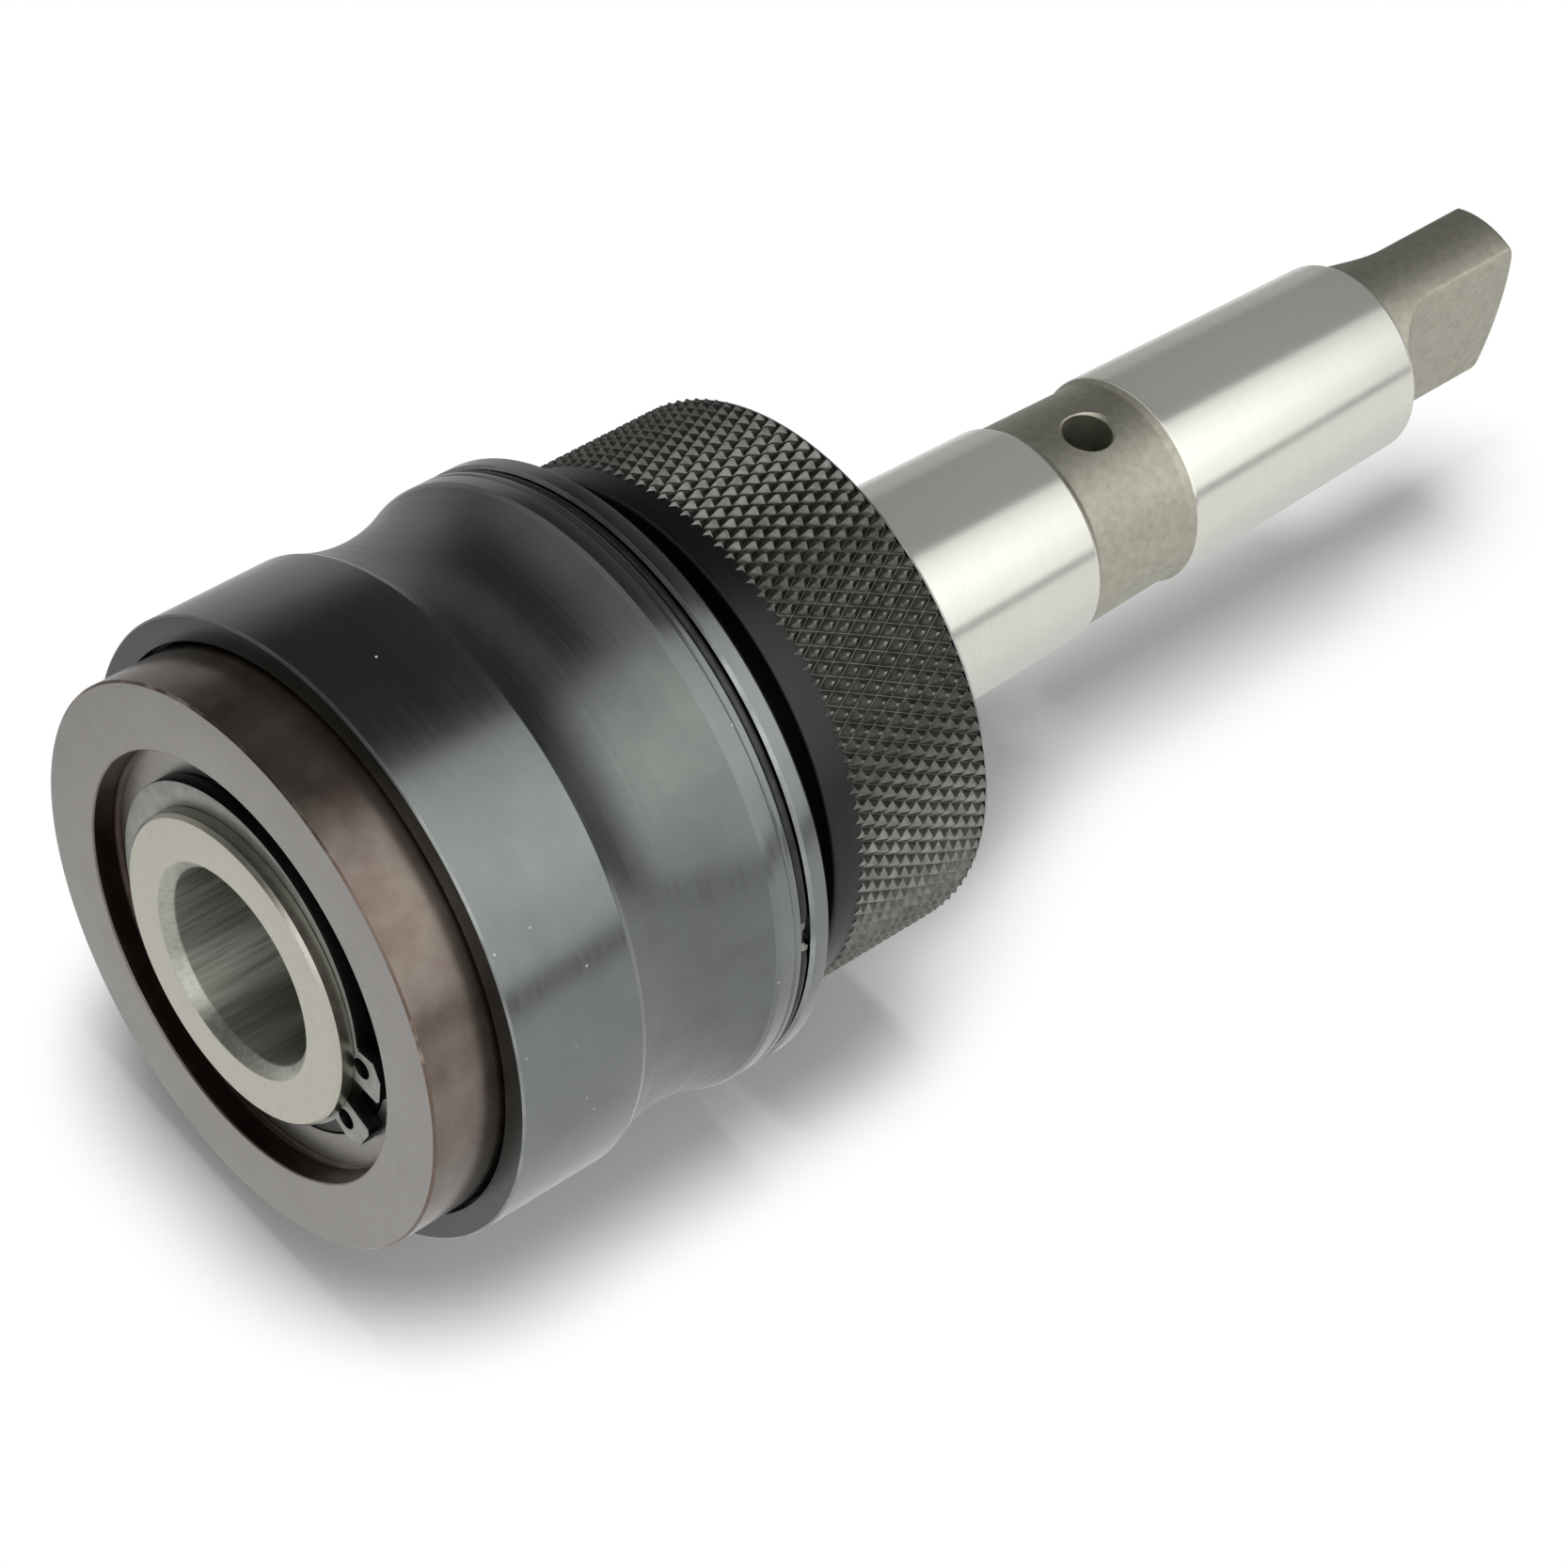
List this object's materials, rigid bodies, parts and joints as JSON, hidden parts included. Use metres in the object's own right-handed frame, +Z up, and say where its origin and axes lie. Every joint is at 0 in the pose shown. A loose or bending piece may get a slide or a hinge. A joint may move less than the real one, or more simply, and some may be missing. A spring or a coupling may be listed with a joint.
{
  "type": "weldon shank adapter",
  "caption": "Taper shank quick-change arbor with tang, coolant cross hole, sliding grip sleeve, knurled collar and a ball-locked socket for side-flat cutters.",
  "frame": {"origin": "centre of the gauge plane of the taper shank, where it enters the machine spindle", "axes": "+X along the tool axis from the nose to the tang, +Z up along the coolant cross hole, with the flats of the tang facing +Y and -Y"},
  "size_m": [0.1597, 0.0602, 0.0602],
  "materials": {
    "ground_steel": "cylindrically ground taper, turned and milled tang, fine turned nose",
    "brown_steel": "brown-black oxide over fine turning",
    "seal_rubber": "matt moulded rubber",
    "black_spring_steel": "oil-blackened spring steel",
    "black_steel": "blue-black oxide over fine turning, satin",
    "hardened_steel": "hardened and ground",
    "ball_steel": "polished bearing steel",
    "spring_steel": "drawn spring wire",
    "knurled_black_steel": "black oxide, diamond knurled",
    "plunger_brass": "turned brass"
  },
  "bodies": {
    "arbor_body": {"arbor": "ground_steel", "front_ring": "brown_steel", "nose_seal": "seal_rubber", "support_washer": "black_spring_steel", "nose_circlip": "black_spring_steel", "stop_pin": "ball_steel", "sleeve_spring": "spring_steel", "spring_seat": "hardened_steel", "knurled_collar": "knurled_black_steel", "collar_key": "ball_steel", "bore_seal": "seal_rubber", "plunger_spring": "spring_steel", "plunger_circlip": "black_spring_steel"},
    "sleeve": {"grip_sleeve": "black_steel", "sleeve_wire_ring": "black_spring_steel", "cam_bush": "hardened_steel"},
    "ball_top": {"lock_ball_top": "ball_steel"},
    "ball_side": {"lock_ball_side": "ball_steel"},
    "ejector": {"ejector_plunger": "plunger_brass", "plunger_seal": "seal_rubber"}
  },
  "joints": [
    {"name": "sleeve_slide", "type": "slide", "parent": "arbor_body", "child": "sleeve", "axis": [1, 0, 0], "range_m": [0, 0.0035], "stiffness_N_per_m": 3000, "springref_m": -0.01, "deforming": ["sleeve_spring"]},
    {"name": "ball_top_lift", "type": "slide", "parent": "arbor_body", "child": "ball_top", "axis": [0, 0, 1], "range_m": [0, 0.00175]},
    {"name": "ball_side_lift", "type": "slide", "parent": "arbor_body", "child": "ball_side", "axis": [0, 1, 0], "range_m": [0, 0.00175]},
    {"name": "ejector_slide", "type": "slide", "parent": "arbor_body", "child": "ejector", "axis": [1, 0, 0], "range_m": [0, 0.007], "stiffness_N_per_m": 400, "springref_m": -0.01, "deforming": ["plunger_spring"]}
  ],
  "couplings": [
    {"joint": "ball_top_lift", "follows": "sleeve_slide", "ratio": 0.5},
    {"joint": "ball_side_lift", "follows": "sleeve_slide", "ratio": 0.5}
  ]
}
